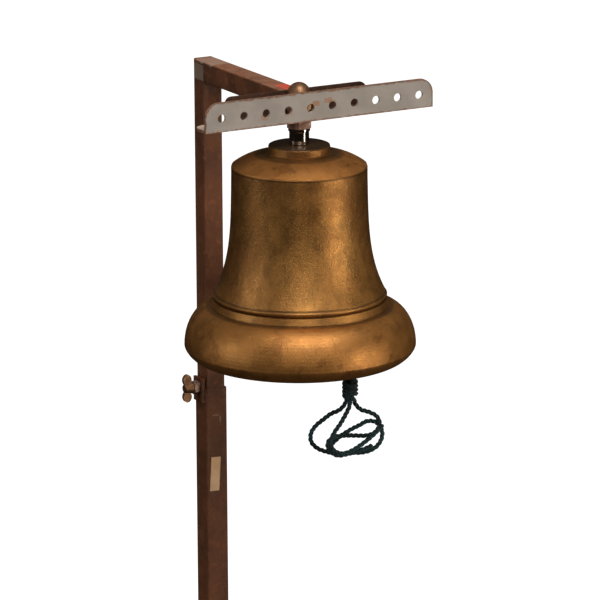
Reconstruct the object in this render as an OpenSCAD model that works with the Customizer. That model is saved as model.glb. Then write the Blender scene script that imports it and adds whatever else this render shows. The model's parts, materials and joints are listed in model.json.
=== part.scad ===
// Bell on a height-adjustable stand of square steel tube.
// The origin is the middle of the base on the floor; +Z is up and the bell hangs in front, at -Y.
// Millimetres throughout.

/* [Stand] */
// Height of the top of the arm above the floor
overall_h = 1300; // [1100:1:1500]
// Side of the square arm and inner mast tube
inner_tube = 22; // [20:0.5:24]
// Wall of the arm and inner mast tube
inner_wall = 1.5; // [1:0.1:2]
// Wall of the outer mast tube and of the base tubes
outer_wall = 1.2; // [1:0.1:1.5]
// Gap between the inner and outer mast tubes on each side
mast_gap = 0.3; // [0.2:0.05:0.4]
// Distance from the arm's top down to the outer mast's top
outer_drop = 351; // [330:1:400]
// Length of inner mast inside the outer mast
engaged = 400; // [360:1:600]
// Distance from the bell's axis back to the mast's axis
reach = 195; // [170:1:220]
// Bell axis in front of the middle of the base
bell_forward = 75; // [50:1:100]
// Length of the two cross legs
leg_length = 440; // [400:1:560]
// Distance between the centre lines of the two cross legs
leg_spread = 400; // [360:1:480]
// Height of the rubber feet
foot_h = 6; // [4:0.5:10]

/* [Crossbar] */
// Length of the crossbar on the left of the bell's axis
bar_left = 113; // [110:1:140]
// Length of the crossbar on the right of the bell's axis
bar_right = 146; // [140:1:170]
// Width of each flange of the crossbar's angle
bar_flange = 30; // [28:1:34]
// Thickness of the angles
bar_t = 2.5; // [2:0.1:3]
// Number of holes along the crossbar's front flange
hole_count = 10; // [6:1:10]
// Distance between neighbouring holes
hole_pitch = 25; // [20:1:25]
// Diameter of the holes
hole_d = 8.5; // [6:0.1:10]
// Left end of the short angle behind the crossbar, from the bell's axis
angle_left = 75; // [60:1:90]
// Right end of the short angle behind the crossbar, from the bell's axis
angle_right = 85; // [60:1:90]

/* [Bell] */
// Diameter of the bell at its widest
bell_d = 234; // [232:0.2:236]
// Height of the bell from the crown disc's top to the lip
bell_h = 219; // [218:0.5:221]
// Diameter of the crown disc
crown_d = 62; // [58:1:66]
// Thickness of the crown disc
crown_h = 9; // [8:0.5:10]
// Diameter of the shoulder's edge
shoulder_d = 136.6; // [135:0.2:138]
// Wall thickness of the waist
waist_wall = 6.5; // [5:0.1:8]

/* [Clapper] */
// Distance from the crossbar's underside down to the clapper's pin
pivot_drop = 95; // [93:0.5:97]
// Distance from the pin to the middle of the ball
ball_drop = 150; // [146:0.5:152]
// Diameter of the ball
ball_d = 44; // [40:0.5:45]
// Distance from the pin to the tail's eye
eye_drop = 178; // [175:0.5:182]
// Lean of the clapper in the stored pose, in degrees
clapper_lean = 19; // [0:1:25]
// Diameter of the rope
rope_d = 5; // [4.5:0.1:5.2]

/* [Hidden] */

$fn = 64;

// Tubes and their places
outer_tube = inner_tube + 2 * mast_gap + 2 * outer_wall;
tube_corner = 2;
mast_y = reach - bell_forward;
arm_z = overall_h - inner_tube;
leg_top = foot_h + outer_tube;
outer_top = overall_h - outer_drop;
cap_flange = 3;
cap_insert = 12;
foot_d = 24;
foot_inset = 25;
screw_d = 4;
screw_hole_d = 4.2;
screw_length = 12;
screw_head_d = 8;
screw_head_low = 0.6;
screw_recess = 2.6;
gusset_t = 4;
gusset_h = 70;
gusset_l = 50;
gusset_nose = 6;

// Wing clamp: a plate on the outer mast's left face reaches above the tube and carries a nut
clamp_rise = 1;
clamp_plate_t = 3;
clamp_plate_w = 20;
clamp_plate_h = 26;
clamp_plate_low = -15;
clamp_d = 8;
clamp_fit = 0.05;
clamp_tip_gap = 0.2;
clamp_nut_af = 13;
clamp_nut_h = 6.5;
wing_boss_d = 12;
wing_boss_h = 9;
wing_span = 30;
wing_half = [6, 4.8];
wing_t = 4;

// Paper label on the outer mast's front face
label_w = 11;
label_h = 37;
label_t = 0.2;
label_drop = 75;
label_off = -2.5;
label_tilt = 3.5;

// The crossbar's underside, and the faces of the two angles in front of and behind the bell's axis
bar_z = overall_h - 27.5;
bar_front = -14.8;
angle_back = 17;
angle_h = 25;
bar_corner = 15;
first_hole = -95;
hole_z = 13.7;
edge_corner = 7;

// Suspension fittings
stud_d = 16;
stud_fit = 0.05;
stud_above = 30.5;
stud_below = 74.5;
m16_af = 24;
m16_clear_d = 17;
washer_d = 23;
washer_t = 3;
spring_d = 24;
spring_t = 2.5;
spring_slit = 2;
jam_h = 8;
spacer_h = 17;
spacer_d = 20;
acorn_hex = 10;
acorn_dome_d = 23;
acorn_top = 38;
crown_top = jam_h + spacer_h;
crown_t = 18;
inner_washer_d = 36;
inner_nut_h = 10;
washer_z = bar_z + 2 * bar_t;
nut_under_crown = crown_top + crown_t + washer_t;
clevis_top = nut_under_crown + inner_nut_h;

// Clapper and its clevis
clevis_d = 28;
clevis_body = 20;
clevis_w = 22;
knuckle_w = 10;
knuckle_gap = 0.3;
ear_t = 6;
knuckle_d = 20;
pin_d = 8;
pin_fit = 0.05;
pin_head = 3;
pin_washer_t = 1.5;
pin_tail = 5.2;
split_d = 2.4;
stem_d = 12;
neck_d = 9.4;
eye_d = 18;
eye_t = 6;
eye_hole = 9;
// Longer than any bore that it cuts
through = 40;
ear_out = knuckle_w / 2 + knuckle_gap + ear_t;
eye_x = eye_drop * sin(clapper_lean);
eye_z = bar_z - pivot_drop - eye_drop * cos(clapper_lean);

// Rope: three parts hang from a hitch in the tail's eye, turned to face between the front and the right.
// Points run [right, away, up] from the middle of the eye.
rope_turn = -30;
hitch_ring = 8;
hitch_d = 17;
hitch_top = -13;
hitch_bottom = -35;
rope_sides = 8;
left_route = [[-3.5, 0, -34], [-5.5, 0, -40], [-11, -1, -46], [-20, -2, -50], [-28, -3, -56],
    [-35, -3, -62], [-40, -3, -70], [-40, -3, -79], [-34, -3, -86], [-24, -3, -90], [-13, -3, -92],
    [-2, -3, -91], [9, -3, -91], [19, -3, -89], [27, -3, -84], [32, -2, -76], [32, 0, -67],
    [26, 3, -60], [17, 6, -60], [9, 8, -65], [0, 9, -70], [-9, 9, -76], [-17, 8, -83], [-24, 6, -90]];
right_route = [[3.5, 0, -34], [5.5, -1, -40], [11, -3, -45], [19, -5, -47], [27, -7, -51],
    [30, -9, -59], [25, -11, -67], [16, -12, -70], [6, -12, -70], [-4, -12, -70], [-14, -12, -71],
    [-22, -12, -76], [-22, -12, -85], [-14, -12, -91], [-4, -12, -90], [6, -12, -87], [15, -12, -84],
    [23, -12, -80]];
middle_route = [[0, -5.5, -34], [-1, -7, -41], [-5, -10, -49], [-10, -14, -57], [-16, -18, -65],
    [-20, -20, -74], [-17, -20, -83], [-8, -20, -87], [1, -20, -84], [9, -20, -79], [17, -19, -73],
    [24, -18, -67], [29, -17, -62], [34, -16, -57]];

// ---- Shared shapes ----

// Square with four round corners
module round_square(side, corner) {
    straight = side - 2 * corner;
    square([side, straight], center = true);
    square([straight, side], center = true);
    for (x = [-1, 1], y = [-1, 1])
        translate([x, y] * straight / 2) circle(corner);
}

// Square tube standing on z = 0
module tube(side, wall, length) {
    linear_extrude(length) difference() {
        round_square(side, tube_corner);
        round_square(side - 2 * wall, max(tube_corner - wall, 0.3));
    }
}

// Plate with its two far corners rounded, lying in XY from the origin
module round_end_plate(width, height, corner, thick) {
    linear_extrude(thick) {
        square([width, height - corner]);
        translate([corner, 0]) square([width - 2 * corner, height]);
        for (x = [corner, width - corner])
            translate([x, height - corner]) circle(corner);
    }
}

// Hexagon nut with turned corners and a plain bore, standing on z = 0
module hex_nut(af, height, bore_d) {
    corner_r = af / 2 / cos(30);
    turn = corner_r - af / 2;
    difference() {
        intersection() {
            cylinder(r = corner_r, h = height, $fn = 6);
            rotate_extrude() polygon([[0, 0], [af / 2, 0], [corner_r, turn * 0.6],
                [corner_r, height - turn * 0.6], [af / 2, height], [0, height]]);
        }
        translate([0, 0, -1]) cylinder(d = bore_d, h = height + 2);
    }
}

module washer(outer_d, bore_d, thick) {
    difference() {
        cylinder(d = outer_d, h = thick);
        translate([0, 0, -1]) cylinder(d = bore_d, h = thick + 2);
    }
}

// Puts its children on the bell's axis, a distance below the crossbar's underside
module on_bell_axis(drop = 0) {
    translate([0, -bell_forward, bar_z - drop]) children();
}

// Puts its children at the clapper's pin, leaning with the clapper
module on_clapper() {
    on_bell_axis(pivot_drop) rotate([0, -clapper_lean, 0]) children();
}

// ---- Base and outer mast ----

module leg(y) {
    color([0.34, 0.2, 0.13]) translate([-leg_length / 2 + cap_flange, y, foot_h + outer_tube / 2])
        rotate([90, 0, 90]) difference() {
            tube(outer_tube, outer_wall, leg_length - 2 * cap_flange);
            for (side = [0, 1])
                translate([0, -outer_tube / 2, side == 0 ? foot_inset : leg_length - 2 * cap_flange
                    - foot_inset]) rotate([90, 0, 0])
                    cylinder(d = screw_hole_d, h = 3 * outer_wall, center = true, $fn = 24);
        }
}

module base_spine() {
    length = leg_spread - outer_tube;
    color([0.34, 0.2, 0.13]) translate([0, -length / 2, foot_h + outer_tube / 2])
        rotate([-90, 0, 0]) tube(outer_tube, outer_wall, length);
}

module at_leg_ends(inset) {
    for (x = [-1, 1], y = [-1, 1])
        translate([x * (leg_length / 2 - inset), y * leg_spread / 2, 0]) children();
}

module leg_end_caps() {
    insert = outer_tube - 2 * outer_wall - 0.2;
    color([0.1, 0.1, 0.1]) for (x = [-1, 1], y = [-1, 1])
        translate([x * leg_length / 2, y * leg_spread / 2, foot_h + outer_tube / 2])
            rotate([0, -90 * x, 0]) {
                linear_extrude(cap_flange) round_square(outer_tube, tube_corner);
                linear_extrude(cap_flange + cap_insert) round_square(insert, 1);
            }
}

module rubber_feet() {
    color([0.08, 0.08, 0.08]) at_leg_ends(foot_inset + cap_flange) difference() {
        rotate_extrude() polygon([[0, 0], [foot_d / 2 - 1, 0], [foot_d / 2, 1],
            [foot_d / 2 - 1, foot_h], [0, foot_h]]);
        translate([0, 0, -1]) cylinder(d = screw_hole_d, h = foot_h + 2, $fn = 24);
        translate([0, 0, -1]) cylinder(d = screw_head_d + 1, h = screw_recess + 1, $fn = 32);
    }
}

module foot_screws() {
    color([0.5, 0.5, 0.5]) at_leg_ends(foot_inset + cap_flange) {
        translate([0, 0, screw_head_low])
            cylinder(d = screw_head_d, h = screw_recess - screw_head_low, $fn = 32);
        translate([0, 0, 1]) cylinder(d = screw_d, h = screw_length, $fn = 24);
    }
}

module mast_gussets() {
    color([0.34, 0.2, 0.13]) for (side = [-1, 1])
        translate([-gusset_t / 2, mast_y + side * outer_tube / 2, leg_top])
            rotate([90, 0, 90]) linear_extrude(gusset_t)
                polygon([[0, 0], [side * gusset_l, 0], [side * gusset_l, gusset_nose],
                    [side * gusset_nose, gusset_h], [0, gusset_h]]);
}

module mast_outer() {
    color([0.33, 0.19, 0.12]) translate([0, mast_y, leg_top]) difference() {
        tube(outer_tube, outer_wall, outer_top - leg_top);
        translate([-outer_tube / 2, 0, outer_top - leg_top + clamp_rise]) rotate([0, 90, 0])
            cylinder(d = clamp_d + 1, h = 4 * outer_wall, center = true, $fn = 32);
    }
}

// Puts its children on the clamp's axis at the mast's left face, +Z pointing out
module on_clamp() {
    translate([-outer_tube / 2, mast_y, outer_top + clamp_rise]) rotate([0, -90, 0]) children();
}

module clamp_plate() {
    color([0.32, 0.19, 0.12]) on_clamp() difference() {
        translate([clamp_plate_low - clamp_rise, -clamp_plate_w / 2, 0])
            cube([clamp_plate_h, clamp_plate_w, clamp_plate_t]);
        translate([0, 0, -1]) cylinder(d = clamp_d + 1, h = clamp_plate_t + 2, $fn = 32);
    }
}

module clamp_nut() {
    color([0.25, 0.16, 0.1]) on_clamp() translate([0, 0, clamp_plate_t])
        hex_nut(clamp_nut_af, clamp_nut_h, clamp_d + 2 * clamp_fit);
}

module clamp_screw() {
    tip = outer_wall + mast_gap - clamp_tip_gap;
    boss = clamp_plate_t + clamp_nut_h + 1;
    color([0.5, 0.4, 0.24]) on_clamp() {
        translate([0, 0, -tip]) cylinder(d = clamp_d, h = tip + boss + 1);
        translate([0, 0, boss]) rotate_extrude() polygon([[0, 0], [wing_boss_d / 2, 0],
            [wing_boss_d / 2 - 1, wing_boss_h - 1], [wing_boss_d / 2 - 2, wing_boss_h],
            [0, wing_boss_h]]);
        for (side = [-1, 1])
            translate([side * (wing_span / 2 - wing_half.x), wing_t / 2, boss + wing_boss_h * 0.62])
                rotate([90, 0, 0]) linear_extrude(wing_t)
                    scale([wing_half.x / wing_half.y, 1]) circle(wing_half.y);
    }
}

module paper_label() {
    color([0.85, 0.72, 0.56])
        translate([label_off, mast_y - outer_tube / 2, outer_top - label_drop - label_h / 2])
            rotate([90, label_tilt, 0])
                linear_extrude(label_t) square([label_w, label_h], center = true);
}

// ---- Inner mast, arm and crossbar ----

// Space above the 45 degree mitre between the mast and the arm
module above_mitre() {
    size = 2 * reach;
    translate([-size / 2, mast_y, overall_h - inner_tube / 2]) rotate([45, 0, 0])
        translate([0, -size, 0]) cube([size, 2 * size, size]);
}

module mast_inner() {
    bottom = outer_top - engaged;
    color([0.32, 0.18, 0.11]) difference() {
        translate([0, mast_y, bottom]) tube(inner_tube, inner_wall, overall_h - bottom);
        above_mitre();
    }
}

module arm() {
    front = angle_back - bell_forward;
    color([0.38, 0.22, 0.14]) intersection() {
        translate([0, front, overall_h - inner_tube / 2]) rotate([-90, 0, 0])
            tube(inner_tube, inner_wall, mast_y + inner_tube / 2 - front);
        above_mitre();
    }
}

// Short rusty angle: one leg lies on the crossbar, the other stands behind it and carries the arm
module arm_angle() {
    length = angle_left + angle_right;
    color([0.3, 0.17, 0.1]) on_bell_axis() difference() {
        union() {
            translate([-angle_left, angle_back, bar_t]) rotate([90, 0, 0])
                round_end_plate(length, angle_h, edge_corner, bar_t);
            translate([-angle_left, angle_back, bar_t]) rotate([180, 0, 0])
                translate([0, 0, -bar_t]) round_end_plate(length, angle_h, edge_corner, bar_t);
        }
        translate([0, 0, -1]) cylinder(d = m16_clear_d, h = 4 * bar_t);
    }
}

// Grey perforated angle: the front flange has the row of holes, the bottom flange carries the bell
module crossbar() {
    length = bar_left + bar_right;
    color([0.53, 0.51, 0.48]) on_bell_axis() difference() {
        union() {
            translate([-bar_left, bar_front + bar_t, 0]) rotate([90, 0, 0])
                round_end_plate(length, bar_flange, bar_corner, bar_t);
            translate([-bar_left, bar_front, 0])
                round_end_plate(length, bar_flange, bar_corner, bar_t);
        }
        for (i = [0 : hole_count - 1])
            translate([first_hole + i * hole_pitch, bar_front, hole_z]) rotate([90, 0, 0])
                cylinder(d = hole_d, h = 4 * bar_t, center = true, $fn = 32);
        translate([0, 0, -1]) cylinder(d = m16_clear_d, h = 4 * bar_t);
    }
}

// ---- Suspension ----

module bell_stud() {
    chamfer = 1;
    color([0.55, 0.55, 0.56]) on_bell_axis() rotate_extrude()
        polygon([[0, -stud_below], [stud_d / 2 - chamfer, -stud_below],
            [stud_d / 2, chamfer - stud_below], [stud_d / 2, stud_above - chamfer],
            [stud_d / 2 - chamfer, stud_above], [0, stud_above]]);
}

module acorn_nut() {
    base = 2 * bar_t + washer_t + spring_t;
    dome_r = acorn_dome_d / 2;
    color([0.42, 0.28, 0.15]) on_bell_axis() difference() {
        union() {
            translate([0, 0, base]) hex_nut(m16_af, acorn_hex, 1);
            translate([0, 0, base + 1]) cylinder(r = dome_r, h = acorn_top - dome_r - base - 1);
            translate([0, 0, acorn_top - dome_r]) sphere(dome_r);
        }
        cylinder(d = stud_d + 2 * stud_fit, h = stud_above + 1);
    }
}

module spring_washer() {
    color([0.3, 0.2, 0.14]) translate([0, -bell_forward, washer_z + washer_t]) difference() {
        washer(spring_d, m16_clear_d, spring_t);
        translate([0, -spring_slit / 2, -1]) cube([spring_d, spring_slit, spring_t + 2]);
    }
}

module top_washer() {
    color([0.35, 0.24, 0.17]) translate([0, -bell_forward, washer_z])
        washer(washer_d, m16_clear_d, washer_t);
}

module jam_nut() {
    color([0.5, 0.36, 0.3]) on_bell_axis(jam_h)
        hex_nut(m16_af, jam_h, stud_d + 2 * stud_fit);
}

module chrome_spacer() {
    r = spacer_d / 2;
    bore_r = stud_d / 2 + stud_fit;
    color([0.7, 0.7, 0.72]) on_bell_axis(crown_top) rotate_extrude()
        polygon([[bore_r, 0], [r - 0.8, 0], [r, 0.8], [r, spacer_h - 4], [r + 1, spacer_h - 3],
            [r + 1, spacer_h - 0.8], [r + 0.2, spacer_h], [bore_r, spacer_h]]);
}

module inner_washer() {
    color([0.5, 0.45, 0.4]) on_bell_axis(nut_under_crown)
        washer(inner_washer_d, m16_clear_d, washer_t);
}

module inner_nut() {
    color([0.5, 0.42, 0.36]) on_bell_axis(clevis_top)
        hex_nut(m16_af, inner_nut_h, stud_d + 2 * stud_fit);
}

// ---- Bell ----

// Points on an elliptical arc about [r, down], from angle a to angle b; a flatness under 1 draws the
// quarter turns towards straight chamfers
function arc(r, down, half_w, half_h, a, b, steps, flatness = 1) =
    [for (i = [0 : steps]) let (t = a + (b - a) * i / steps)
        [r + half_w * share(cos(t), flatness), half_h * share(sin(t), flatness) - down]];
function share(v, flatness) = sign(v) * pow(abs(v), 1 / flatness);

// Radius of the waist's outside at a depth below the crown: nearly straight, then a fast flare
waist_top = 23;
waist_end = 150;
flare_start = 30;
waist_spread = 1.9;
waist_flare = 15.6;
function waist_r(down) = let (t = max(0, down - flare_start) / (waist_end - flare_start))
    shoulder_d / 2 + waist_spread * t + waist_flare * pow(t, 3.8);

// Shoulder between the crown disc and the shoulder's edge, falling away faster towards the edge
shoulder_fall = 12;
function shoulder(steps) = [for (i = [1 : steps]) let (s = i / steps)
    [crown_d / 2 + (shoulder_d / 2 - 0.6 - crown_d / 2) * s,
        -crown_h - shoulder_fall * pow(s, 2.2)]];

bead_r = 2.4;
bead_at = 154;
band_top = [87.4, -157.9];
band_bottom = [89.4, -164.6];
bow_top = 165.8;
bow_widest = 205.5;
bow_r = bell_d / 2;
bow_w = 27;
lip_w = 14;
lip_flatness = 0.75;
strike_in = [98.5, -200];
lip_in = [101.5, 2.5 - bell_h];

bell_outside = concat(
    [[crown_d / 2 - 1.5, 0], [crown_d / 2 - 0.4, -0.5], [crown_d / 2, -1.5],
        [crown_d / 2, 0.8 - crown_h]],
    shoulder(12),
    [[shoulder_d / 2, -waist_top]],
    [for (i = [0 : 20]) let (down = flare_start + (waist_end - flare_start) * pow(i / 20, 0.7))
        [waist_r(down), -down]],
    arc(waist_r(waist_end) - 0.3, bead_at, bead_r, bead_r, 70, -70, 8),
    [[band_top.x - 1.6, band_top.y + 0.3], band_top, band_bottom,
        [band_bottom.x + 0.1, band_bottom.y - 0.9]],
    arc(bow_r - bow_w, bow_widest, bow_w, bow_widest - bow_top, 88, 0, 16),
    arc(bow_r - lip_w, bow_widest, lip_w, bell_h - bow_widest, -8, -90, 10, lip_flatness)
);
bell_inside = concat(
    [[lip_in.x + 0.3, 0.5 - bell_h], lip_in, strike_in],
    [for (i = [10 : -1 : 0]) let (down = flare_start + 8 + (waist_end - flare_start - 8) * i / 10)
        [waist_r(down) - waist_wall, -down]],
    [[59.5, -31], [56, -26.5], [49, -23], [38, -20], [24, -crown_t],
        [stud_d / 2 + stud_fit, -crown_t], [stud_d / 2 + stud_fit, 0]]
);

module bell() {
    color([0.5, 0.34, 0.12]) on_bell_axis(crown_top)
        rotate_extrude($fn = 128) polygon(concat(bell_outside, bell_inside));
}

// ---- Clapper ----

module clapper_clevis() {
    ear_h = pivot_drop - clevis_top - clevis_body;
    color([0.36, 0.3, 0.25]) on_bell_axis(pivot_drop) difference() {
        union() {
            translate([0, 0, ear_h]) cylinder(d = clevis_d, h = clevis_body);
            for (side = [-1, 1])
                translate([0, side * (ear_out - ear_t / 2), 0]) {
                    translate([-clevis_w / 2, -ear_t / 2, 0])
                        cube([clevis_w, ear_t, ear_h + 0.5]);
                    rotate([90, 0, 0]) cylinder(d = clevis_w, h = ear_t, center = true);
                }
        }
        rotate([90, 0, 0]) cylinder(d = pin_d + 2 * pin_fit, h = through, center = true);
        translate([0, 0, pivot_drop - stud_below - 0.5])
            cylinder(d = stud_d + 2 * stud_fit, h = through);
    }
}

// Puts its children at the pin, +Z running back along it
module on_pin() {
    on_bell_axis(pivot_drop) rotate([-90, 0, 0]) children();
}

module clapper_pin() {
    end = ear_out + pin_washer_t + pin_tail;
    color([0.6, 0.6, 0.6]) on_pin() difference() {
        rotate_extrude() polygon([[0, -ear_out - pin_head], [pin_d / 2 + 1.8, -ear_out - pin_head],
            [pin_d / 2 + 2.5, 0.7 - ear_out - pin_head], [pin_d / 2 + 2.5, -ear_out],
            [pin_d / 2, -ear_out], [pin_d / 2, end - 0.8], [pin_d / 2 - 0.8, end], [0, end]]);
        translate([0, 0, ear_out + pin_washer_t + 0.1 + split_d / 2]) rotate([0, 90, 0])
            cylinder(d = split_d + 0.2, h = through, center = true, $fn = 24);
    }
}

module pin_washer() {
    color([0.6, 0.6, 0.6]) on_pin() translate([0, 0, ear_out])
        washer(16, pin_d + 2 * pin_fit, pin_washer_t);
}

module split_pin() {
    loop_r = 2.4;
    color([0.6, 0.6, 0.6]) on_pin() translate([0, 0, ear_out + pin_washer_t + 0.1 + split_d / 2]) {
        translate([-pin_d / 2 - 1, 0, 0]) rotate([0, 90, 0])
            cylinder(d = split_d, h = pin_d + 5, $fn = 24);
        translate([-pin_d / 2 - 1 - loop_r, 0, 0]) rotate_extrude($fn = 32)
            translate([loop_r, 0]) circle(split_d / 2, $fn = 24);
    }
}

module clapper_stem() {
    r = stem_d / 2;
    neck_r = neck_d / 2;
    color([0.33, 0.27, 0.22]) on_clapper() difference() {
        union() {
            rotate([90, 0, 0]) cylinder(d = knuckle_d, h = knuckle_w, center = true);
            rotate_extrude() polygon([[0, -eye_drop], [neck_r, -eye_drop], [neck_r, 5 - eye_drop],
                [r, 9 - eye_drop], [r, -60], [r - 1, -40], [r + 0.5, -22], [neck_r, -14],
                [neck_r, 0], [0, 0]]);
            translate([0, 0, -eye_drop]) rotate([90, 0, 0])
                cylinder(d = eye_d, h = eye_t, center = true);
        }
        rotate([90, 0, 0]) cylinder(d = pin_d + 2 * pin_fit, h = through, center = true);
        translate([0, 0, -eye_drop]) rotate([90, 0, 0])
            cylinder(d = eye_hole, h = through, center = true);
    }
}

module clapper_ball() {
    color([0.42, 0.31, 0.18]) on_clapper() difference() {
        translate([0, 0, -ball_drop]) sphere(d = ball_d);
        translate([0, 0, -ball_drop - ball_d]) cylinder(d = stem_d, h = 2 * ball_d);
    }
}

// ---- Rope ----

function unit(v) = v / norm(v);

// Closed tube along a route that never runs straight towards or away from +Y
module rope_tube(route) {
    last = len(route) - 1;
    rings = [for (i = [0 : last])
        let (along = unit(route[min(i + 1, last)] - route[max(i - 1, 0)]),
            across = unit(cross(along, [0, 1, 0])), up = cross(across, along))
        for (k = [0 : rope_sides - 1]) let (angle = 360 * k / rope_sides)
            route[i] + (across * cos(angle) + up * sin(angle)) * rope_d / 2];
    walls = [for (i = [0 : last - 1], k = [0 : rope_sides - 1])
        let (a = i * rope_sides + k, b = i * rope_sides + (k + 1) % rope_sides)
        for (face = [[a, b, b + rope_sides], [a, b + rope_sides, a + rope_sides]]) face];
    start_cap = [for (k = [rope_sides - 1 : -1 : 0]) k];
    end_cap = [for (k = [0 : rope_sides - 1]) last * rope_sides + k];
    color([0.06, 0.2, 0.22]) on_rope()
        polyhedron(points = rings, faces = concat([start_cap], walls, [end_cap]));
}

module on_rope() {
    translate([eye_x, -bell_forward, eye_z]) rotate([0, 0, rope_turn]) children();
}

// Ring through the eye with the knot below it
module rope_hitch() {
    knot_r = hitch_d / 2;
    color([0.05, 0.17, 0.19]) translate([eye_x, -bell_forward, eye_z]) {
        translate([0, 0, -hitch_ring]) rotate([0, 90, 0]) rotate_extrude($fn = 48)
            translate([hitch_ring, 0]) circle(rope_d / 2, $fn = 24);
        rotate_extrude($fn = 48) polygon([[0, hitch_bottom], [knot_r - 2, hitch_bottom],
            [knot_r, hitch_bottom + 3], [knot_r, hitch_top - 3], [knot_r - 3, hitch_top], [0, hitch_top]]);
    }
}

leg(-leg_spread / 2);  // front_leg
leg(leg_spread / 2);  // rear_leg
base_spine();
leg_end_caps();
rubber_feet();
foot_screws();
mast_gussets();
mast_outer();
clamp_plate();
clamp_nut();
paper_label();
clamp_screw();
mast_inner();
arm();
arm_angle();
crossbar();
bell_stud();
acorn_nut();
spring_washer();
top_washer();
jam_nut();
chrome_spacer();
bell();
inner_washer();
inner_nut();
clapper_clevis();
clapper_pin();
pin_washer();
split_pin();
clapper_stem();
clapper_ball();
rope_hitch();
rope_tube(left_route);  // rope_left
rope_tube(right_route);  // rope_right
rope_tube(middle_route);  // rope_middle
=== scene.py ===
"""Looks of a brass ship bell with its clapper rope, on an adjustable stand of rusty square tube."""
import json
import math

import bpy
from mathutils import Matrix, Vector, noise


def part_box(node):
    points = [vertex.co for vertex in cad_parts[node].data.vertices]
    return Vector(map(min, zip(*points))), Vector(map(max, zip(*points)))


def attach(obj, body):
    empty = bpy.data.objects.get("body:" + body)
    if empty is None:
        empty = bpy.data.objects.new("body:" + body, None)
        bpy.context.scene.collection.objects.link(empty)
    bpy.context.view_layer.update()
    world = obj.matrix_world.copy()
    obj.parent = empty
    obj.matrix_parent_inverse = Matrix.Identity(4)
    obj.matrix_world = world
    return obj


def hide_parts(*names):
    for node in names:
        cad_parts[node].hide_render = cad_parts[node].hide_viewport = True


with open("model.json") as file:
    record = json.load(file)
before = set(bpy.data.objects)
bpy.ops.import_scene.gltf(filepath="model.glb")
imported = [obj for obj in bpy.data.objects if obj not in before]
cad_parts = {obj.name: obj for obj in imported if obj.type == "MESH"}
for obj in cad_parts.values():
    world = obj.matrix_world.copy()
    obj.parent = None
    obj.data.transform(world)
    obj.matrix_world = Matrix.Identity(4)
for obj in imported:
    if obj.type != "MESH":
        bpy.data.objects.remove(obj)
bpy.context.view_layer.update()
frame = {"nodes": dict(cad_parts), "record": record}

MM = 0.001


# ---- Camera ----

def camera_axes(azimuth, elevation, roll=0.0):
    """Right, up and back directions of a camera round the object; azimuth 0 looks along +Y."""
    a, e, r = (math.radians(angle) for angle in (azimuth, elevation, roll))
    back = Vector((math.sin(a) * math.cos(e), -math.cos(a) * math.cos(e), math.sin(e)))
    right = Vector((math.cos(a), math.sin(a), 0))
    up = back.cross(right)
    return (right * math.cos(r) + up * math.sin(r), up * math.cos(r) - right * math.sin(r), back)


def add_camera(target, azimuth, elevation, roll, distance, lens):
    right, up, back = camera_axes(azimuth, elevation, roll)
    camera = bpy.data.objects.new("camera", bpy.data.cameras.new("camera"))
    bpy.context.scene.collection.objects.link(camera)
    turn = Matrix((right, up, back)).transposed().to_4x4()
    camera.matrix_world = Matrix.Translation(target + back * distance) @ turn
    camera.data.lens = lens
    camera.data.clip_end = 100
    bpy.context.scene.camera = camera


bell_low, bell_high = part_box("bell")
bell_axis = (bell_low + bell_high) / 2
bell_axis.z = bell_high.z
CAMERA_TARGET_Z = 1.0865
add_camera(Vector((bell_axis.x, bell_axis.y, CAMERA_TARGET_Z)),
           azimuth=-28.906, elevation=14.675, roll=-0.285, distance=4.294, lens=255.8)


# ---- Mesh helpers ----

def mesh_piece(name, points, faces, body):
    """A new mesh object that rides on a body."""
    mesh = bpy.data.meshes.new(name)
    mesh.from_pydata(points, [], faces)
    mesh.validate()
    mesh.shade_smooth()
    piece = bpy.data.objects.new(name, mesh)
    bpy.context.scene.collection.objects.link(piece)
    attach(piece, body)
    return piece


def smooth_route(points, steps):
    """The points of a smooth curve through a route, with steps stretches between each two."""
    last = len(points) - 1
    line = []
    for i in range(last):
        a, b, c, d = points[max(i - 1, 0)], points[i], points[i + 1], points[min(i + 2, last)]
        for k in range(steps):
            t = k / steps
            line.append((2 * b + (c - a) * t + (2 * a - 5 * b + 4 * c - d) * t ** 2
                         + (3 * b - a - 3 * c + d) * t ** 3) / 2)
    return line + [points[last]]


def even_line(line, step):
    """The same line with its points an even distance apart."""
    lengths = [0.0]
    for a, b in zip(line, line[1:]):
        lengths.append(lengths[-1] + (b - a).length)
    count = max(2, round(lengths[-1] / step))
    out = []
    i = 0
    for k in range(count + 1):
        at = lengths[-1] * k / count
        while i < len(line) - 2 and lengths[i + 1] < at:
            i += 1
        share = (at - lengths[i]) / max(lengths[i + 1] - lengths[i], 1e-9)
        out.append(line[i].lerp(line[i + 1], min(share, 1.0)))
    return out


def ring_frames(line):
    """A pair of crosswise directions at each point of a line, without twist."""
    frames = []
    across = None
    for i, point in enumerate(line):
        along = (line[min(i + 1, len(line) - 1)] - line[max(i - 1, 0)]).normalized()
        if across is None:
            across = along.orthogonal().normalized()
        across = (across - along * across.dot(along)).normalized()
        frames.append((across, along.cross(across)))
    return frames


def swept_mesh(line, sides, radius_at):
    """Points and faces of a closed tube; radius_at(ring, share of a turn) gives its radius."""
    points = []
    for i, (centre, (across, up)) in enumerate(zip(line, ring_frames(line))):
        for k in range(sides):
            angle = math.tau * k / sides
            out = across * math.cos(angle) + up * math.sin(angle)
            points.append(centre + out * radius_at(i, k / sides))
    faces = []
    for i in range(len(line) - 1):
        for k in range(sides):
            a, b = i * sides + k, i * sides + (k + 1) % sides
            faces.append((a, b, b + sides, a + sides))
    last = (len(line) - 1) * sides
    faces.append(tuple(range(sides))[::-1])
    faces.append(tuple(last + k for k in range(sides)))
    return points, faces


# ---- Rope: three parts hang from a hitch in the clapper's eye ----

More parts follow.
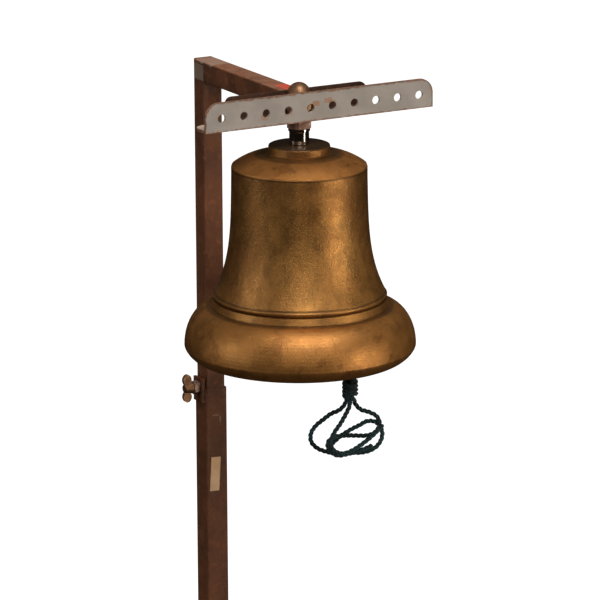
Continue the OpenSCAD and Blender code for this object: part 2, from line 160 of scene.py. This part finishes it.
ROPE_D = 5 * MM
STRANDS = 3
LAY_LENGTH = 15 * MM
ROPE_SIDES = 30
ROPE_STEP = 0.75 * MM
MELT_LENGTH = 2.2 * MM

# [right, away, up] from the middle of the eye, in millimetres, before the turn about the vertical
LEFT_ROUTE = [(-3.5, 0, -34), (-5.5, 0, -40), (-11, -1, -46), (-20, -2, -50), (-28, -3, -56),
              (-35, -3, -62), (-40, -3, -70), (-40, -3, -79), (-34, -3, -86), (-24, -3, -90),
              (-13, -3, -92), (-2, -3, -91), (9, -3, -91), (19, -3, -89), (27, -3, -84),
              (32, -2, -76), (32, 0, -67), (26, 3, -60), (17, 6, -60), (9, 8, -65), (0, 9, -70),
              (-9, 9, -76), (-17, 8, -83), (-24, 6, -90)]
RIGHT_ROUTE = [(3.5, 0, -34), (5.5, -1, -40), (11, -3, -45), (19, -5, -47), (27, -7, -51),
               (30, -9, -59), (25, -11, -67), (16, -12, -70), (6, -12, -70), (-4, -12, -70),
               (-14, -12, -71), (-22, -12, -76), (-22, -12, -85), (-14, -12, -91), (-4, -12, -90),
               (6, -12, -87), (15, -12, -84), (23, -12, -80)]
MIDDLE_ROUTE = [(0, -5.5, -34), (-1, -7, -41), (-5, -10, -49), (-10, -14, -57), (-16, -18, -65),
                (-20, -20, -74), (-17, -20, -83), (-8, -20, -87), (1, -20, -84), (9, -20, -79),
                (17, -19, -73), (24, -18, -67), (29, -17, -62), (34, -16, -57)]
ROPE_TURN = Matrix.Rotation(math.radians(-30), 3, "Z")

hitch_low, hitch_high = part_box("rope_hitch")
HITCH_RING = 8 * MM
HITCH_TOP, HITCH_BOTTOM = -13 * MM, -35 * MM
eye = Vector(((hitch_low.x + hitch_high.x) / 2, bell_axis.y, hitch_high.z - ROPE_D / 2))


def rope_radius(end_at):
    """Radius function of a laid rope: three strands, fine yarns, and a melted round end."""
    strand_r = ROPE_D / 2 / (1 + 2 / math.sqrt(3)) * 1.12
    off = ROPE_D / 2 - strand_r

    def radius(i, share):
        at = i * ROPE_STEP
        turn = share - at / LAY_LENGTH
        lobe = ((turn * STRANDS) % 1 - 0.5) * math.tau / STRANDS
        reach = off * math.cos(lobe) + math.sqrt(max(strand_r ** 2 - (off * math.sin(lobe)) ** 2, 0))
        yarn = 0.04 * MM * math.sin(math.tau * (turn * 18 + at / LAY_LENGTH * 13))
        around = share * math.tau
        fuzz = noise.noise(Vector((at / (4 * MM), math.cos(around), math.sin(around))))
        r = reach + yarn + 0.09 * MM * fuzz
        left = (end_at - i) * ROPE_STEP
        if left < MELT_LENGTH:
            r *= math.sqrt(max(1 - (1 - left / MELT_LENGTH) ** 2, 0.02))
        return r
    return radius


def laid_rope(name, points, steps, node):
    """A laid rope through some points, in place of a plain CAD piece; also returns its centre line."""
    line = even_line(smooth_route(points, steps), ROPE_STEP)
    tube_points, faces = swept_mesh(line, ROPE_SIDES, rope_radius(len(line) - 1))
    piece = mesh_piece(name, tube_points, faces, "rope")
    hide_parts(node)
    return piece, line


def hitch_lines():
    """The loop through the eye, and the turns wrapped round the hanging parts."""
    ring = [eye + HITCH_RING * Vector((0, -math.cos(t), math.sin(t) - 1))
            for t in (math.radians(a) for a in range(-70, 251, 16))]
    turns, start, wrap_r = 4, 0.3, 6 * MM
    top, bottom = HITCH_TOP - ROPE_D / 2, HITCH_BOTTOM + ROPE_D / 2
    wraps = []
    for i in range(65):
        angle = math.tau * turns * i / 64 + start
        wraps.append(eye + Vector((wrap_r * math.sin(angle), -wrap_r * math.cos(angle),
                                   top + (bottom - top) * i / 64)))
    return ring, wraps


ring_line, wrap_line = hitch_lines()
rope_pieces = [laid_rope("hitch_loop", ring_line, 6, "rope_hitch")[0],
               laid_rope("hitch_turns", wrap_line, 4, "rope_hitch")[0]]
for side, route, rope_length in (("left", LEFT_ROUTE, 0.226), ("right", RIGHT_ROUTE, 0.159),
                                 ("middle", MIDDLE_ROUTE, 0.120)):
    places = [eye + ROPE_TURN @ (Vector(point) * MM) for point in route]
    part, part_line = laid_rope(f"rope_{side}_laid", places, 12, f"rope_{side}")
    rope_pieces.append(part)


# ---- Materials ----

# Depths below the bell's crown, in millimetres, where two mouldings meet; the brass is darkened along them
# as painted shade
GROOVES = (9.4, 23.4, 151.4, 156.9, 165.4)


class Look:
    """A procedural material in the object's own coordinates; each method returns a node's output."""

    def __init__(self, name, **constants):
        self.material = bpy.data.materials.new(name)
        self.material.use_nodes = True
        self.tree = self.material.node_tree
        self.shader = self.tree.nodes["Principled BSDF"]
        for socket, value in constants.items():
            self.shader.inputs[socket.replace("_", " ")].default_value = value
        self.where = self.node("ShaderNodeTexCoord").outputs["Object"]
        split = self.node("ShaderNodeSeparateXYZ", Vector=self.where)
        self.x, self.y, self.z = split.outputs

    def node(self, kind, settings=(), **inputs):
        made = self.tree.nodes.new(kind)
        for key, value in dict(settings).items():
            setattr(made, key, value)
        for socket, value in inputs.items():
            self.feed(made.inputs[socket.replace("_", " ")], value)
        return made

    def feed(self, socket, value):
        if isinstance(value, bpy.types.NodeSocket):
            self.tree.links.new(value, socket)
        else:
            socket.default_value = value

    def maths(self, operation, a, b=0.0):
        made = self.node("ShaderNodeMath", {"operation": operation})
        self.feed(made.inputs[0], a)
        self.feed(made.inputs[1], b)
        return made.outputs[0]

    def stretched(self, factors, offset=(0, 0, 0)):
        made = self.node("ShaderNodeMapping", Vector=self.where, Scale=factors, Location=offset)
        return made.outputs[0]

    def noise(self, scale, detail=4.0, roughness=0.55, stretch=None, offset=(0, 0, 0), distortion=0.0):
        where = self.stretched(stretch or (1, 1, 1), offset)
        made = self.node("ShaderNodeTexNoise", Vector=where, Scale=scale, Detail=detail,
                         Roughness=roughness, Distortion=distortion)
        return made.outputs[0]

    def cells(self, scale):
        made = self.node("ShaderNodeTexVoronoi", Vector=self.where, Scale=scale)
        return made.outputs["Distance"]

    def ramp(self, value, low, high, to_low=0.0, to_high=1.0):
        """Smooth step of a value between low and high."""
        made = self.node("ShaderNodeMapRange", {"interpolation_type": "SMOOTHSTEP"}, Value=value,
                         From_Min=low, From_Max=high, To_Min=to_low, To_Max=to_high)
        return made.outputs[0]

    def band(self, value, low, high, soft):
        """1 between low and high, fading to 0 over a distance on both sides."""
        rise = self.ramp(value, low - soft, low)
        fall = self.ramp(value, high, high + soft, 1.0, 0.0)
        return self.maths("MULTIPLY", rise, fall)

    def patch(self, low, high, soft, ragged=0.0, scale=200.0):
        """1 inside a box in the object's coordinates, with a ragged edge."""
        axes = [self.x, self.y, self.z]
        if ragged:
            wander = self.maths("MULTIPLY", self.maths("SUBTRACT", self.noise(scale), 0.5), ragged)
            axes = [self.maths("ADD", axis, wander) for axis in axes]
        parts = [self.band(axis, a, b, soft) for axis, a, b in zip(axes, low, high)]
        return self.maths("MULTIPLY", self.maths("MULTIPLY", parts[0], parts[1]), parts[2])

    def mix(self, amount, a, b):
        made = self.node("ShaderNodeMix", {"data_type": "RGBA"})
        self.feed(made.inputs[0], amount)
        for socket, colour in ((made.inputs[6], a), (made.inputs[7], b)):
            self.feed(socket, (*colour, 1) if isinstance(colour, tuple) else colour)
        return made.outputs[2]

    def bump(self, height, distance, below=None):
        made = self.node("ShaderNodeBump", Height=height, Distance=distance)
        if below is not None:
            self.feed(made.inputs["Normal"], below)
        return made.outputs[0]

    def done(self, colour, roughness, normal=None):
        self.feed(self.shader.inputs["Base Color"], colour)
        self.feed(self.shader.inputs["Roughness"], roughness)
        if normal is not None:
            self.feed(self.shader.inputs["Normal"], normal)
        return self.material


def brass_look():
    """Dark aged brass: smoother on the waist, warmer and blotched on the shoulder and the bow."""
    look = Look("aged_bell_brass", Metallic=0.8)
    crown = bell_high.z
    mottle = look.noise(60, 6, 0.65, stretch=(1, 1, 0.55))
    grain = look.noise(900, 3, 0.6)
    pits = look.ramp(look.cells(260), 0.05, 0.16, 1.0, 0.0)
    pits = look.maths("MULTIPLY", pits, look.ramp(look.noise(40, 2), 0.48, 0.62))
    golden, brown, olive = (0.50, 0.238, 0.060), (0.28, 0.118, 0.031), (0.16, 0.088, 0.027)
    colour = look.mix(look.ramp(look.noise(9, 5, 0.6, distortion=0.4), 0.36, 0.66), brown, golden)
    colour = look.mix(look.ramp(mottle, 0.42, 0.72, 0.0, 0.6), colour, olive)
    streak = look.noise(130, 4, 0.6, stretch=(1, 1, 0.06))
    colour = look.mix(look.ramp(streak, 0.5, 0.8, 0.0, 0.35), colour, brown)
    colour = look.mix(look.ramp(grain, 0.35, 0.75, 0.0, 0.3), colour, (0.22, 0.11, 0.035))
    tarnish = look.ramp(look.noise(17, 4, 0.6, offset=(3, 1, 2)), 0.58, 0.76, 0.0, 0.4)
    colour = look.mix(tarnish, colour, (0.25, 0.19, 0.13))
    # Bright golden flecks: painted glints.
    painted_glint = look.ramp(look.noise(330, 5, 0.7, offset=(4, 6, 2)), 0.48, 0.70)
    colour = look.mix(look.maths("MULTIPLY", painted_glint, 0.3), colour, (0.66, 0.34, 0.095))
    # The top of the crown disc is painted dark: a painted reflection of dark surroundings.
    disc_top_painted_reflection = look.ramp(look.z, crown - 0.0016, crown - 0.0006)
    shoulder = look.band(look.z, crown - 0.0225, crown - 0.010, 0.0010)
    bow = look.ramp(look.z, crown - 0.168, crown - 0.164, 1.0, 0.0)
    warm = look.maths("MAXIMUM", look.maths("MULTIPLY", shoulder, 0.7), look.maths("MULTIPLY", bow, 0.55))
    colour = look.mix(warm, colour, (0.50, 0.215, 0.055))
    blotch = look.ramp(look.noise(48, 4, 0.6, offset=(7, 2, 1)), 0.54, 0.64)
    blotch = look.maths("MULTIPLY", blotch, look.maths("MULTIPLY", warm, 0.9))
    colour = look.mix(blotch, colour, (0.22, 0.085, 0.022))
    # Painted dark reflection on the crown disc's top.
    colour = look.mix(look.maths("MULTIPLY", disc_top_painted_reflection, 0.8), colour, (0.085, 0.055, 0.032))
    # Thin dark lines along the grooves: painted shade.
    for down in GROOVES:
        groove_painted_shade = look.band(look.z, crown - down * MM - 0.0006, crown - down * MM + 0.0006, 0.0009)
        colour = look.mix(look.maths("MULTIPLY", groove_painted_shade, 0.6), colour, (0.085, 0.048, 0.018))
    colour = look.mix(look.maths("MULTIPLY", pits, 0.6), colour, (0.08, 0.045, 0.018))
    roughness = look.ramp(look.noise(55, 5, 0.6, offset=(5, 5, 5)), 0.3, 0.7, 0.33, 0.50)
    roughness = look.maths("ADD", roughness, look.maths("MULTIPLY", shoulder, 0.10))
    height = look.maths("ADD", look.maths("MULTIPLY", mottle, 0.5), look.maths("MULTIPLY", grain, 0.25))
    normal = look.bump(height, 0.0011)
    normal = look.bump(look.maths("SUBTRACT", 1.0, pits), 0.0002, normal)
    return look.done(colour, roughness, normal)


def rust_look(name, light, middle, dark, marks=True):
    """Mild steel with an even skin of rust, with darker vertical streaks."""
    look = Look(name, Metallic=0.0, Specular_IOR_Level=0.35)
    cloud = look.noise(22, 5, 0.6, distortion=0.5)
    spots = look.noise(95, 5, 0.65)
    drawn = look.noise(210, 3, 0.5, stretch=(1, 1, 0.07))
    grain = look.noise(1100, 3, 0.6)
    colour = look.mix(look.ramp(cloud, 0.34, 0.66), dark, middle)
    colour = look.mix(look.ramp(spots, 0.50, 0.78, 0.0, 0.7), colour, light)
    colour = look.mix(look.ramp(drawn, 0.50, 0.80, 0.0, 0.35), colour, dark)
    colour = look.mix(look.ramp(grain, 0.40, 0.75, 0.0, 0.3), colour, light)
    if marks:
        colour = stand_marks(look, colour)
    roughness = look.ramp(spots, 0.3, 0.7, 0.48, 0.78)
    height = look.maths("ADD", look.maths("MULTIPLY", spots, 0.6), look.maths("MULTIPLY", grain, 0.4))
    return look.done(colour, roughness, look.bump(height, 0.0009))


def stand_marks(look, colour):
    """Tape residue at the top corner, lighter on the top face with painted light; painted light along the
    top faces; a dab of red paint on the arm and scratches on the mast.
    """
    mast_low, mast_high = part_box("mast_inner")
    tube_low, tube_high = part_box("mast_outer")
    arm_low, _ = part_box("arm")
    top = mast_high.z
    residue = (0.34, 0.27, 0.21)
    side = look.patch((mast_low.x - 0.001, mast_low.y + 0.001, top - 0.020),
                      (mast_low.x + 0.0004, mast_high.y - 0.003, top - 0.005), 0.0015, 0.006)
    # Tape residue on the top face, painted lighter than on the side: real residue with painted light from
    # above.
    above = look.patch((mast_low.x + 0.001, mast_low.y - 0.020, top - 0.0006),
                       (mast_high.x - 0.003, mast_high.y - 0.007, top + 0.001), 0.002, 0.007)
    colour = look.mix(look.maths("MULTIPLY", side, 0.62), colour, residue)
    # Lighter residue colour on top: painted light.
    colour = look.mix(look.maths("MULTIPLY", above, 0.70), colour, (0.46, 0.38, 0.32))
    # The top faces and their upper edges are painted lighter: painted light from above.
    painted_top_light = look.maths("MULTIPLY", look.ramp(look.z, top - 0.0016, top - 0.0002),
                          look.ramp(look.noise(70, 4, 0.6, offset=(0, 5, 1)), 0.3, 0.6, 0.25, 0.6))
    colour = look.mix(painted_top_light, colour, (0.44, 0.22, 0.14))
    paint = look.patch((-0.004, arm_low.y + 0.003, top - 0.0006),
                       (0.009, arm_low.y + 0.026, top + 0.001), 0.001, 0.004)
    colour = look.mix(look.maths("MULTIPLY", paint, 0.9), colour, (0.78, 0.11, 0.07))
    for x, drop, width, height in ((-0.001, 0.029, 0.007, 0.0009), (0.004, 0.034, 0.0009, 0.006)):
        scratch = look.patch((x - width / 2, tube_low.y - 0.001, tube_high.z - drop - height / 2),
                             (x + width / 2, tube_low.y + 0.0003, tube_high.z - drop + height / 2),
                             0.0007, 0.002, 500)
        colour = look.mix(look.maths("MULTIPLY", scratch, 0.5), colour, (0.42, 0.24, 0.14))
    return colour


def paint_look():
    """Worn warm grey paint on the perforated crossbar, rusty at its edges and round two holes."""
    look = Look("grey_crossbar_paint", Specular_IOR_Level=0.4)
    low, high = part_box("crossbar")
    cloud = look.noise(35, 4, 0.55)
    speck = look.noise(420, 4, 0.7)
    colour = look.mix(look.ramp(cloud, 0.3, 0.7), (0.33, 0.295, 0.26), (0.40, 0.355, 0.32))
    inner = look.ramp(look.y, low.y + 0.0022, low.y + 0.0030)
    colour = look.mix(look.maths("MULTIPLY", inner, 0.85), colour, (0.66, 0.52, 0.40))
    wander = look.maths("MULTIPLY", look.maths("SUBTRACT", look.noise(160, 5, 0.65), 0.5), 0.006)
    end_r = 15 * MM
    middle_x, half = (low.x + high.x) / 2, (high.x - low.x) / 2
    from_end = look.maths("SUBTRACT", half, look.maths("ABSOLUTE", look.maths("SUBTRACT", look.x, middle_x)))
    from_top = look.maths("SUBTRACT", high.z, look.z)
    into_x = look.maths("MAXIMUM", look.maths("SUBTRACT", end_r, from_end), 0.0)
    into_z = look.maths("MAXIMUM", look.maths("SUBTRACT", end_r, from_top), 0.0)
    reach = look.maths("SQRT", look.maths("ADD", look.maths("MULTIPLY", into_x, into_x),
                                          look.maths("MULTIPLY", into_z, into_z)))
    edge = look.maths("SUBTRACT", end_r, reach)
    foot = look.maths("SUBTRACT", look.z, low.z)
    edge = look.maths("MINIMUM", edge, foot)
    rusty = look.ramp(look.maths("ADD", edge, wander), 0.0004, 0.0021, 1.0, 0.0)
    rust = look.mix(look.ramp(look.noise(300, 4), 0.35, 0.65), (0.13, 0.055, 0.03), (0.30, 0.13, 0.06))
    colour = look.mix(look.maths("MULTIPLY", rusty, 0.85), colour, rust)
    flecks = look.ramp(look.noise(75, 6, 0.75, offset=(2, 0, 4)), 0.66, 0.72)
    colour = look.mix(look.maths("MULTIPLY", flecks, 0.5), colour, rust)
    colour = look.mix(look.ramp(speck, 0.62, 0.75, 0.0, 0.4), colour, (0.24, 0.19, 0.16))
    face = low.y + 0.0006
    stains = [((3.2, 11.5), (8.5, 16.5), 0.85), ((7.5, 16.2), (14.5, 19.4), 0.75),
              ((21.5, 18.0), (29.0, 21.5), 0.6), ((26.5, 12.5), (33.0, 18.5), 0.6),
              ((-24.0, 9.8), (-16.5, 15.0), 0.5), ((-50.5, 8.0), (-43.0, 11.5), 0.5)]
    for (x0, z0), (x1, z1), amount in stains:
        stain = look.patch((x0 * MM, low.y - 0.001, low.z + z0 * MM), (x1 * MM, face, low.z + z1 * MM),
                           0.0012, 0.0045, 260)
        colour = look.mix(look.maths("MULTIPLY", stain, amount), colour, (0.36, 0.17, 0.07))
    roughness = look.ramp(speck, 0.3, 0.7, 0.5, 0.7)
    height = look.maths("ADD", look.maths("MULTIPLY", speck, 0.3), look.maths("MULTIPLY", rusty, 0.5))
    return look.done(colour, roughness, look.bump(height, 0.0004))


def metal_look(name, bright, dull, metallic, smooth, rough, scale=120, bump=0.0003):
    """Worn metal between two colours, with its roughness following the wear."""
    look = Look(name, Metallic=metallic)
    wear = look.noise(scale, 5, 0.6)
    grain = look.noise(scale * 8, 3, 0.6)
    colour = look.mix(look.ramp(wear, 0.35, 0.65), dull, bright)
    colour = look.mix(look.ramp(grain, 0.45, 0.8, 0.0, 0.4), colour, dull)
    roughness = look.ramp(wear, 0.3, 0.7, rough, smooth)
    return look.done(colour, roughness, look.bump(grain, bump))


def soft_look(name, light, dark, smooth, rough, scale, bump):
    """Plastic, rubber or paper: no metal, a fine grain and slight colour variation."""
    look = Look(name, Specular_IOR_Level=0.4)
    grain = look.noise(scale, 4, 0.6)
    cloud = look.noise(scale / 12, 3, 0.5)
    colour = look.mix(look.ramp(cloud, 0.3, 0.7), dark, light)
    roughness = look.ramp(grain, 0.3, 0.7, smooth, rough)
    return look.done(colour, roughness, look.bump(grain, bump))


def rope_look():
    look = Look("teal_rope_fibre", Specular_IOR_Level=0.35, Sheen_Weight=0.25, Sheen_Roughness=0.5)
    fibre = look.noise(900, 4, 0.7)
    cloud = look.noise(55, 4, 0.6)
    colour = look.mix(look.ramp(cloud, 0.35, 0.65), (0.010, 0.022, 0.022), (0.014, 0.065, 0.075))
    colour = look.mix(look.ramp(fibre, 0.45, 0.75, 0.0, 0.55), colour, (0.02, 0.10, 0.10))
    fleck = look.ramp(look.noise(160, 3, 0.6, offset=(1, 2, 3)), 0.68, 0.76, 0.0, 0.5)
    colour = look.mix(fleck, colour, (0.16, 0.10, 0.06))
    return look.done(colour, look.ramp(fibre, 0.3, 0.7, 0.5, 0.8), look.bump(fibre, 0.0007))


LOOKS = {
    "bell_brass": brass_look(),
    "rusty_steel": rust_look("rusty_tube_steel", (0.31, 0.122, 0.055), (0.185, 0.065, 0.025),
                             (0.090, 0.033, 0.014)),
    "grey_paint": paint_look(),
    "bronze_nut": metal_look("browned_bronze", (0.36, 0.19, 0.09), (0.17, 0.09, 0.05), 0.75, 0.34, 0.55),
    "chrome": metal_look("polished_chrome", (0.62, 0.56, 0.52), (0.40, 0.34, 0.30), 1.0, 0.06, 0.14,
                         60, 0.00002),
    "rusty_fixings": metal_look("rusty_zinc", (0.50, 0.33, 0.25), (0.22, 0.12, 0.08), 0.5, 0.42, 0.65),
    "bright_fixings": metal_look("dull_zinc", (0.52, 0.51, 0.49), (0.34, 0.33, 0.32), 0.9, 0.32, 0.5),
    "clapper_iron": metal_look("forged_iron", (0.13, 0.10, 0.085), (0.055, 0.04, 0.034), 0.6, 0.45, 0.7,
                               90, 0.0008),
    "ball_bronze": metal_look("cast_bronze", (0.46, 0.29, 0.13), (0.22, 0.13, 0.06), 0.85, 0.35, 0.55, 80),
    "black_plastic": soft_look("moulded_plastic", (0.030, 0.030, 0.031), (0.018, 0.018, 0.019),
                               0.42, 0.6, 1500, 0.0002),
    "foot_rubber": soft_look("foot_rubber_grain", (0.030, 0.029, 0.028), (0.016, 0.016, 0.016),
                             0.7, 0.9, 900, 0.0003),
    "label_paper": soft_look("yellowed_paper", (0.88, 0.60, 0.36), (0.74, 0.46, 0.25), 0.7, 0.85,
                             700, 0.0002),
    "teal_rope": rope_look(),
}
# A darker copy of the rusty steel for the angle behind the crossbar: painted shade.
SHADED_ANGLE_STEEL = rust_look("angle_steel_painted_shade", (0.17, 0.075, 0.04), (0.075, 0.032, 0.018),
                        (0.028, 0.014, 0.009), marks=False)
WELD_METAL = metal_look("weld_metal", (0.20, 0.12, 0.085), (0.085, 0.042, 0.026), 0.5, 0.45, 0.7,
                        240, 0.0005)


def dress(piece, material):
    """Gives every material slot of a piece the same material."""
    if not piece.material_slots:
        piece.data.materials.append(material)
    for place in piece.material_slots:
        place.material = material


for subpart in frame["record"]["subparts"]:
    dress(frame["nodes"][subpart["node"]], LOOKS[subpart["material_slot"]])
# The angle behind the crossbar gets the darker rust copy, as painted shade.
dress(frame["nodes"]["arm_angle"], SHADED_ANGLE_STEEL)
for piece in rope_pieces:
    dress(piece, LOOKS["teal_rope"])


# ---- Weld beads ----

def weld_bead(start, end, width):
    """Points and faces of a straight bead of overlapping ripples, half sunk in its corner."""
    step = width * 0.10
    line = even_line([start, end], step)
    pitch = width * 0.45

    def radius(i, share):
        at = i * step
        ripple = abs(math.sin(math.pi * at / pitch))
        wander = noise.noise(start * 300 + Vector((at * 400, 0, 0)))
        tail = min(1.0, (min(i, len(line) - 1 - i) + 0.6) / 5)
        return width / 2 * (0.80 + 0.16 * ripple + 0.14 * wander) * math.sqrt(tail)
    return swept_mesh(line, 12, radius)


def weld_group(name, body, beads):
    points, faces = [], []
    for start, end, width in beads:
        some_points, some_faces = weld_bead(Vector(start), Vector(end), width)
        faces += [tuple(i + len(points) for i in face) for face in some_faces]
        points += some_points
    piece = mesh_piece(name, points, faces, body)
    dress(piece, WELD_METAL)
    return piece


tube_low, tube_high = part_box("mast_outer")
spine_low, spine_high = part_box("base_spine")
gusset_low, gusset_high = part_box("mast_gussets")
base_beads = [((tube_low.x + 0.002, y, tube_low.z), (tube_high.x - 0.002, y, tube_low.z), 0.0035)
              for y in (tube_low.y, tube_high.y)]
base_beads += [((x, tube_low.y + 0.002, tube_low.z), (x, tube_high.y - 0.002, tube_low.z), 0.0035)
               for x in (tube_low.x + 0.0008, tube_high.x - 0.0008)]
for x in (spine_low.x, spine_high.x):
    for y in (spine_low.y, spine_high.y):
        base_beads.append(((x, y, spine_low.z + 0.003), (x, y, spine_high.z - 0.003), 0.004))
for y in (spine_low.y, spine_high.y):
    base_beads.append(((spine_low.x + 0.003, y, spine_high.z),
                       (spine_high.x - 0.003, y, spine_high.z), 0.004))
for x in (gusset_low.x, gusset_high.x):
    for y, far in ((tube_low.y, gusset_low.y), (tube_high.y, gusset_high.y)):
        base_beads.append(((x, y, gusset_low.z + 0.004), (x, y, gusset_high.z - 0.002), 0.003))
        base_beads.append(((x, y, gusset_low.z), (x, far, gusset_low.z), 0.003))
weld_group("weld_beads_base", "stand", base_beads)

plate_low, plate_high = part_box("clamp_plate")
clamp_beads = [((tube_low.x, plate_low.y + 0.001, plate_low.z),
                (tube_low.x, plate_high.y - 0.001, plate_low.z), 0.0025)]
clamp_beads += [((tube_low.x, y, plate_low.z), (tube_low.x, y, tube_high.z - 0.001), 0.0025)
                for y in (plate_low.y, plate_high.y)]
weld_group("weld_beads_clamp", "stand", clamp_beads)

inner_low, inner_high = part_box("mast_inner")
arm_low, arm_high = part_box("arm")
angle_low, angle_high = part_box("arm_angle")
_, bar_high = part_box("crossbar")
corner = 0.002
head_beads = [((inner_low.x + corner, inner_low.y, arm_low.z),
               (inner_high.x - corner, inner_low.y, arm_low.z), 0.003)]
head_beads += [((x, arm_low.y, arm_low.z + corner), (x, arm_low.y, arm_high.z - corner), 0.003)
               for x in (arm_low.x, arm_high.x)]
head_beads.append(((arm_low.x + corner, arm_low.y, arm_low.z),
                   (arm_high.x - corner, arm_low.y, arm_low.z), 0.003))
for x in (angle_low.x + 0.012, angle_low.x + 0.040, angle_high.x - 0.040, angle_high.x - 0.012):
    head_beads.append(((x - 0.007, bar_high.y, angle_low.z), (x + 0.007, bar_high.y, angle_low.z), 0.0025))
weld_group("weld_beads_head", "head", head_beads)


# ---- Floor, light and surroundings ----

def add_floor(radius=16.0):
    """A pale disc that the camera sees evenly lit, and that shines darker on the object."""
    sides = 96
    points = [(radius * math.cos(math.tau * k / sides), radius * math.sin(math.tau * k / sides), 0)
              for k in range(sides)]
    mesh = bpy.data.meshes.new("floor")
    mesh.from_pydata(points, [], [tuple(range(sides))])
    floor = bpy.data.objects.new("floor", mesh)
    bpy.context.scene.collection.objects.link(floor)
    material = bpy.data.materials.new("pale_floor")
    material.use_nodes = True
    tree = material.node_tree
    out = tree.nodes["Material Output"]
    seen = tree.nodes["Principled BSDF"]
    seen.inputs["Base Color"].default_value = (0.60, 0.60, 0.60, 1)
    seen.inputs["Roughness"].default_value = 0.9
    seen.inputs["Specular IOR Level"].default_value = 0.1
    seen.inputs["Emission Color"].default_value = (1, 1, 1, 1)
    seen.inputs["Emission Strength"].default_value = 1.0
    hidden = tree.nodes.new("ShaderNodeBsdfDiffuse")
    hidden.inputs["Color"].default_value = (0.05, 0.043, 0.035, 1)
    path = tree.nodes.new("ShaderNodeLightPath")
    pick = tree.nodes.new("ShaderNodeMixShader")
    tree.links.new(path.outputs["Is Camera Ray"], pick.inputs[0])
    tree.links.new(hidden.outputs[0], pick.inputs[1])
    tree.links.new(seen.outputs[0], pick.inputs[2])
    tree.links.new(pick.outputs[0], out.inputs["Surface"])
    floor.data.materials.append(material)


def add_world():
    """White to the camera; a dim room with a paler ceiling to everything else."""
    world = bpy.data.worlds.new("room")
    bpy.context.scene.world = world
    world.use_nodes = True
    tree = world.node_tree
    tree.nodes.clear()
    where = tree.nodes.new("ShaderNodeTexCoord")
    split = tree.nodes.new("ShaderNodeSeparateXYZ")
    ramp = tree.nodes.new("ShaderNodeValToRGB")
    ramp.color_ramp.elements[0].position = 0.30
    ramp.color_ramp.elements[0].color = (0.030, 0.026, 0.022, 1)
    ramp.color_ramp.elements[1].position = 1.0
    ramp.color_ramp.elements[1].color = (0.24, 0.22, 0.20, 1)
    room = tree.nodes.new("ShaderNodeBackground")
    white = tree.nodes.new("ShaderNodeBackground")
    white.inputs[0].default_value = (1, 1, 1, 1)
    path = tree.nodes.new("ShaderNodeLightPath")
    pick = tree.nodes.new("ShaderNodeMixShader")
    out = tree.nodes.new("ShaderNodeOutputWorld")
    tree.links.new(where.outputs["Generated"], split.inputs[0])
    tree.links.new(split.outputs["Z"], ramp.inputs[0])
    tree.links.new(ramp.outputs[0], room.inputs[0])
    tree.links.new(path.outputs["Is Camera Ray"], pick.inputs[0])
    tree.links.new(room.outputs[0], pick.inputs[1])
    tree.links.new(white.outputs[0], pick.inputs[2])
    tree.links.new(pick.outputs[0], out.inputs[0])


def add_light(name, azimuth, elevation, distance, size, power, colour=(1, 1, 1)):
    """A soft rectangular light aimed at the bell; azimuth 0 stands in front of it, at -Y."""
    data = bpy.data.lights.new(name, "AREA")
    data.shape = "RECTANGLE"
    data.size, data.size_y = size
    data.energy = power
    data.color = colour
    light = bpy.data.objects.new(name, data)
    bpy.context.scene.collection.objects.link(light)
    right, up, back = camera_axes(azimuth, elevation)
    middle = (bell_low + bell_high) / 2
    turn = Matrix((right, up, back)).transposed().to_4x4()
    light.matrix_world = Matrix.Translation(middle + back * distance) @ turn
    light.visible_camera = False


add_floor()
add_world()
add_light("strip_right", 35, -4, 3.2, (0.45, 2.0), 34, (1.0, 0.92, 0.82))
add_light("softbox_above", -10, 62, 3.0, (2.2, 1.6), 62, (1.0, 0.95, 0.90))
add_light("softbox_front", -20, 24, 3.6, (1.8, 1.0), 20, (1.0, 0.95, 0.90))
add_light("fill_left", -100, 12, 3.6, (1.2, 1.8), 20, (0.98, 0.97, 0.98))
bpy.context.scene.view_settings.view_transform = "Standard"
